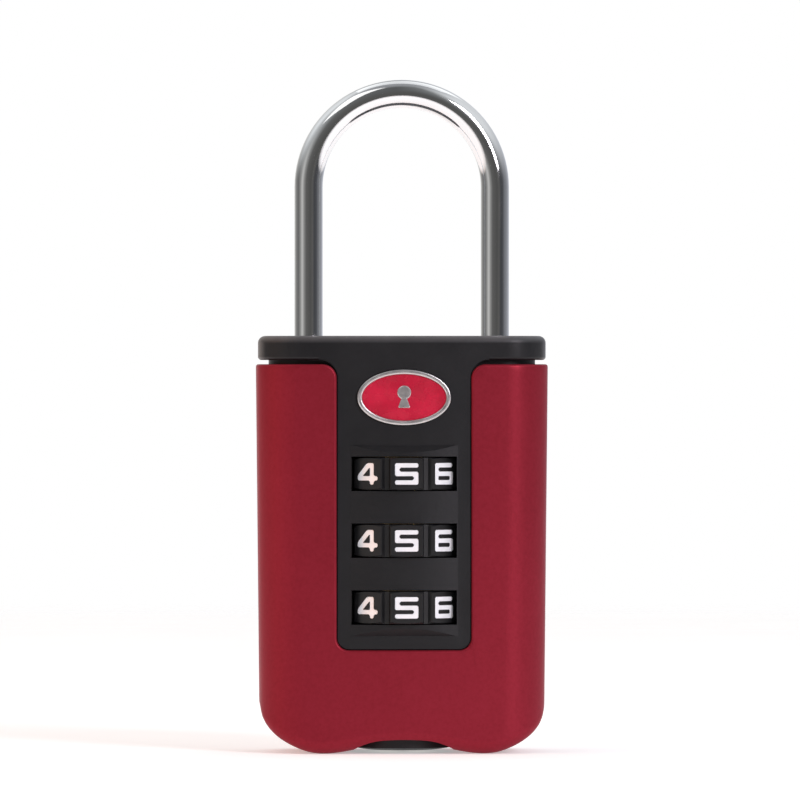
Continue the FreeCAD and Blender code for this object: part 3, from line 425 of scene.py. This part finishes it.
def numeral_piece(name, zc, body):
    bm = bmesh.new()
    for k in range(10):
        d = (5 + k) % 10
        ang = math.radians(-90 + PAD_TURN + 36 * k)
        ca, sa = math.cos(ang), math.sin(ang)

        def at(u, v, r):
            t = u - NUM_W / 2
            return Vector(((r * ca - t * sa) * MM, (DIAL_Y + r * sa + t * ca) * MM, (zc + v - NUM_H / 2) * MM))

        outer, holes = numeral(d)
        loops = [shrunk(rounded(outer, 0.14), SHRINK)] + [shrunk(rounded(q, 0.07), -SHRINK) for q in holes]
        rings = []
        edges = []
        for q in loops:
            vs = [bm.verts.new(at(u, v, NUM_FACE)) for u, v in q]
            es = [bm.edges.new((vs[i], vs[(i + 1) % len(vs)])) for i in range(len(vs))]
            rings.append(vs)
            edges += es
        fill = bmesh.ops.triangle_fill(bm, use_beauty=True, use_dissolve=False, edges=edges)
        top = [f for f in fill["geom"] if isinstance(f, bmesh.types.BMFace)]
        n = Vector((ca, sa, 0))
        for f in top:
            f.normal_update()
            if f.normal.dot(n) < 0:
                f.normal_flip()
        ext = bmesh.ops.extrude_face_region(bm, geom=top)
        new = [v for v in ext["geom"] if isinstance(v, bmesh.types.BMVert)]
        # the extruded copy stays on top, slightly smaller in height; the old one goes down to the pocket's floor
        for vs in rings:
            for v in vs:
                v.co -= n * (NUM_FACE - NUM_FLOOR - 0.004) * MM
        for f in top:
            if f.is_valid:
                f.normal_flip()
    bmesh.ops.recalc_face_normals(bm, faces=bm.faces[:])
    me = bpy.data.meshes.new(name)
    bm.to_mesh(me)
    bm.free()
    o = bpy.data.objects.new(name, me)
    scene.collection.objects.link(o)
    me.materials.append(INK)
    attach(o, body)
    return o


for tag, zc, body in zip(("top", "middle", "bottom"), DIAL_Z, ("dial_1", "dial_2", "dial_3")):
    numeral_piece("numbers_" + tag, zc, body)


# ---------------------------------------------------------------- badge emblem
def keyhole_emblem():
    """A plain keyhole in low relief on the badge, with bevelled edges."""
    b_lo, b_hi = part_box("badge_inlay")
    cx, cz = (b_lo.x + b_hi.x) / 2, (b_lo.z + b_hi.z) / 2
    face_y = b_lo.y
    r, neck, foot, drop = 0.72, 0.30, 0.62, 1.62
    pts = []
    a0 = math.asin(neck / r)
    steps = 40
    for i in range(steps + 1):
        a = -math.pi / 2 + a0 + (2 * math.pi - 2 * a0) * i / steps
        pts.append((r * math.cos(a), 0.52 + r * math.sin(a)))
    pts += [(-foot + 0.0, -drop + 0.62), (-foot + 0.1, -drop + 0.52), (foot - 0.1, -drop + 0.52), (foot, -drop + 0.62)]
    bm = bmesh.new()
    layers = [(0.0, 0.03), (0.0, -0.05), (0.07, -0.11)]

    def inset(e):
        q = []
        n = len(pts)
        for i in range(n):
            p, c, s = Vector(pts[i - 1]), Vector(pts[i]), Vector(pts[(i + 1) % n])
            ta, tb = (c - p).normalized(), (s - c).normalized()
            na, nb = Vector((-ta.y, ta.x)), Vector((-tb.y, tb.x))
            k = na + nb
            k = k / max(k.length_squared / 2, 1e-6)
            q.append(c + k * e)
        return q

    rings = []
    for e, dy in layers:
        rings.append([bm.verts.new((cx + u * MM, face_y + dy * MM, cz + v * MM)) for u, v in inset(e)])
    for a, b in zip(rings, rings[1:]):
        for i in range(len(a)):
            j = (i + 1) % len(a)
            bm.faces.new((a[i], a[j], b[j], b[i]))
    bm.faces.new(rings[-1])
    bm.faces.new(list(reversed(rings[0])))
    bmesh.ops.recalc_face_normals(bm, faces=bm.faces[:])
    me = bpy.data.meshes.new("badge_keyhole")
    bm.to_mesh(me)
    bm.free()
    o = bpy.data.objects.new("badge_keyhole", me)
    scene.collection.objects.link(o)
    me.materials.append(BEZEL)
    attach(o, "lock_body")
    return o


keyhole_emblem()


# ------------------------------------------------------------- floor and light
def floor():
    bm = bmesh.new()
    bmesh.ops.create_circle(bm, cap_ends=True, segments=96, radius=0.44)
    me = bpy.data.meshes.new("floor")
    bm.to_mesh(me)
    bm.free()
    o = bpy.data.objects.new("floor", me)
    o.location = (0, 0.12, cad_box[0].z - 0.00002)
    scene.collection.objects.link(o)
    m = Mat("pale_floor")
    m.set(Roughness=0.9, Specular_IOR_Level=0.1)
    n = m.noise(40, 3, 0.5)
    c = m.ramp(n, "Fac", [(0.3, (0.83, 0.83, 0.83)), (0.7, (0.86, 0.86, 0.86))])
    m.link(c, "Color", m.p, "Base Color")
    m.p.inputs["Emission Color"].default_value = (1.0, 1.0, 1.0, 1.0)
    m.p.inputs["Emission Strength"].default_value = FLOOR_GLOW
    # the far floor fades into the white background
    g = m.add("ShaderNodeTexGradient", gradient_type="SPHERICAL")
    mp = m.mapped((1 / 0.44, 1 / 0.44, 1 / 0.44))
    m.link(mp, "Vector", g, "Vector")
    fade = m.range(g, "Fac", 0.02, 0.40, 0.0, 1.0)
    clear = m.add("ShaderNodeBsdfTransparent")
    mixer = m.add("ShaderNodeMixShader")
    m.link(fade, "Result", mixer, "Fac")
    m.link(clear, "BSDF", mixer, 1)
    m.link(m.p, "BSDF", mixer, 2)
    m.link(mixer, "Shader", m.out, "Surface")
    me.materials.append(m.m)


FLOOR_GLOW = 0.37
floor()


def area(name, az, el, dist, size, power, color, target=(0, 0, 0.035)):
    """Area light at azimuth az from the front (to the right) and elevation el, in degrees."""
    a, e = math.radians(az), math.radians(el)
    d = bpy.data.lights.new(name, "AREA")
    d.shape = "RECTANGLE"
    d.size, d.size_y = size
    d.energy = power
    d.color = color
    o = bpy.data.objects.new(name, d)
    v = Vector((math.sin(a) * math.cos(e), -math.cos(a) * math.cos(e), math.sin(e)))
    o.location = Vector(target) + v * dist
    o.rotation_mode = "QUATERNION"
    o.rotation_quaternion = (-v).to_track_quat("-Z", "Y")
    scene.collection.objects.link(o)
    return o


warm = area("left_warm", -82, 10, 0.9, (0.36, 0.7), 5.2, (1.0, 0.44, 0.18))
warm.visible_glossy = False
area("right_soft", 37, 25, 0.9, (0.22, 0.5), 4.2, (1.0, 0.92, 1.0))
area("left_high", -46, 54, 1.0, (0.5, 0.5), 0.8, (1.0, 0.98, 0.96))
area("top_soft", 170, 68, 1.0, (0.9, 0.7), 1.0, (1.0, 1.0, 1.0))

# brightness of the studio by azimuth in degrees from the front, positive to the right: level ring and upper ring
LEVEL = [(-180, 0.95), (-150, 0.55), (-122, 0.24), (-95, 0.145), (-74, 0.27), (-55, 0.56), (-38, 0.27), (-22, 0.12), (-4, 0.10), (14, 0.085),
         (30, 0.105), (46, 0.06), (64, 0.08), (84, 0.20), (108, 0.28), (145, 0.52), (180, 0.95)]
UPPER = [(-180, 0.38), (-150, 0.75), (-109, 0.88), (-77, 0.55), (-52, 0.36), (-25, 0.14), (0, 0.11), (18, 0.2), (33, 0.5), (52, 0.75), (77, 0.8),
         (109, 0.75), (150, 0.75), (180, 0.38)]


def world():
    w = bpy.data.worlds.new("studio")
    scene.world = w
    w.use_nodes = True
    t = w.node_tree
    t.nodes.clear()

    def node(kind, **values):
        n = t.nodes.new(kind)
        for k, v in values.items():
            setattr(n, k, v)
        return n

    out = node("ShaderNodeOutputWorld")
    bg_cam = node("ShaderNodeBackground")
    bg_cam.inputs["Color"].default_value = (1, 1, 1, 1)
    bg = node("ShaderNodeBackground")
    mix = node("ShaderNodeMixShader")
    path = node("ShaderNodeLightPath")
    co = node("ShaderNodeTexCoord")
    sep = node("ShaderNodeSeparateXYZ")
    t.links.new(co.outputs["Generated"], sep.inputs[0])
    neg = node("ShaderNodeMath", operation="MULTIPLY")
    neg.inputs[1].default_value = -1
    t.links.new(sep.outputs["Y"], neg.inputs[0])
    at = node("ShaderNodeMath", operation="ARCTAN2")
    t.links.new(sep.outputs["X"], at.inputs[0])
    t.links.new(neg.outputs[0], at.inputs[1])
    to01 = node("ShaderNodeMapRange")
    to01.inputs["From Min"].default_value = -math.pi
    to01.inputs["From Max"].default_value = math.pi
    t.links.new(at.outputs[0], to01.inputs["Value"])

    def ring(stops, warm, cool):
        r = node("ShaderNodeValToRGB")
        r.color_ramp.interpolation = "B_SPLINE" if len(stops) > 15 else "EASE"
        r.color_ramp.interpolation = "LINEAR"
        e = r.color_ramp.elements
        while len(e) < len(stops):
            e.new(0.5)
        for el, (deg, v) in zip(e, stops):
            el.position = (deg + 180) / 360
            f = cool if deg > 35 else warm
            el.color = (v * f[0], v * f[1], v * f[2], 1)
        t.links.new(to01.outputs[0], r.inputs["Fac"])
        return r

    def step(a, b):
        n = node("ShaderNodeMapRange", interpolation_type="SMOOTHSTEP")
        n.inputs["From Min"].default_value = a
        n.inputs["From Max"].default_value = b
        t.links.new(sep.outputs["Z"], n.inputs["Value"])
        return n

    def blend(fac, a, b):
        n = node("ShaderNodeMix", data_type="RGBA")
        t.links.new(fac.outputs[0], n.inputs[0])
        for v, i in ((a, 6), (b, 7)):
            if isinstance(v, tuple):
                n.inputs[i].default_value = (*v, 1)
            else:
                t.links.new(v.outputs[2] if v.bl_idname == "ShaderNodeMix" else v.outputs[0], n.inputs[i])
        return n

    level = ring(LEVEL, (1.02, 1.0, 0.97), (0.97, 0.99, 1.08))
    upper = ring(UPPER, (0.98, 1.0, 1.01), (0.98, 1.0, 1.02))
    c = blend(step(0.06, 0.62), level, upper)
    c = blend(step(0.80, 1.0), c, (0.33, 0.335, 0.35))
    c = blend(step(-0.20, -0.40), c, (0.62, 0.61, 0.62))
    t.links.new(c.outputs[2], bg.inputs["Color"])
    t.links.new(path.outputs["Is Camera Ray"], mix.inputs["Fac"])
    t.links.new(bg.outputs[0], mix.inputs[1])
    t.links.new(bg_cam.outputs[0], mix.inputs[2])
    t.links.new(mix.outputs[0], out.inputs["Surface"])


world()


# --------------------------------------------------------------------- camera
def camera():
    az, el, dist = math.radians(-2.1), math.radians(0.25), 0.90
    width = 0.08497
    target = Vector((-0.00019, 0.00045, 0.0373))
    back = Vector((math.sin(az) * math.cos(el), -math.cos(az) * math.cos(el), math.sin(el)))
    c = bpy.data.cameras.new("camera")
    c.sensor_width = 36.0
    c.lens = 36.0 * dist / width
    c.clip_start, c.clip_end = 0.01, 20.0
    o = bpy.data.objects.new("camera", c)
    o.location = target + back * dist
    o.rotation_mode = "QUATERNION"
    o.rotation_quaternion = (-back).to_track_quat("-Z", "Y")
    scene.collection.objects.link(o)
    scene.camera = o


camera()
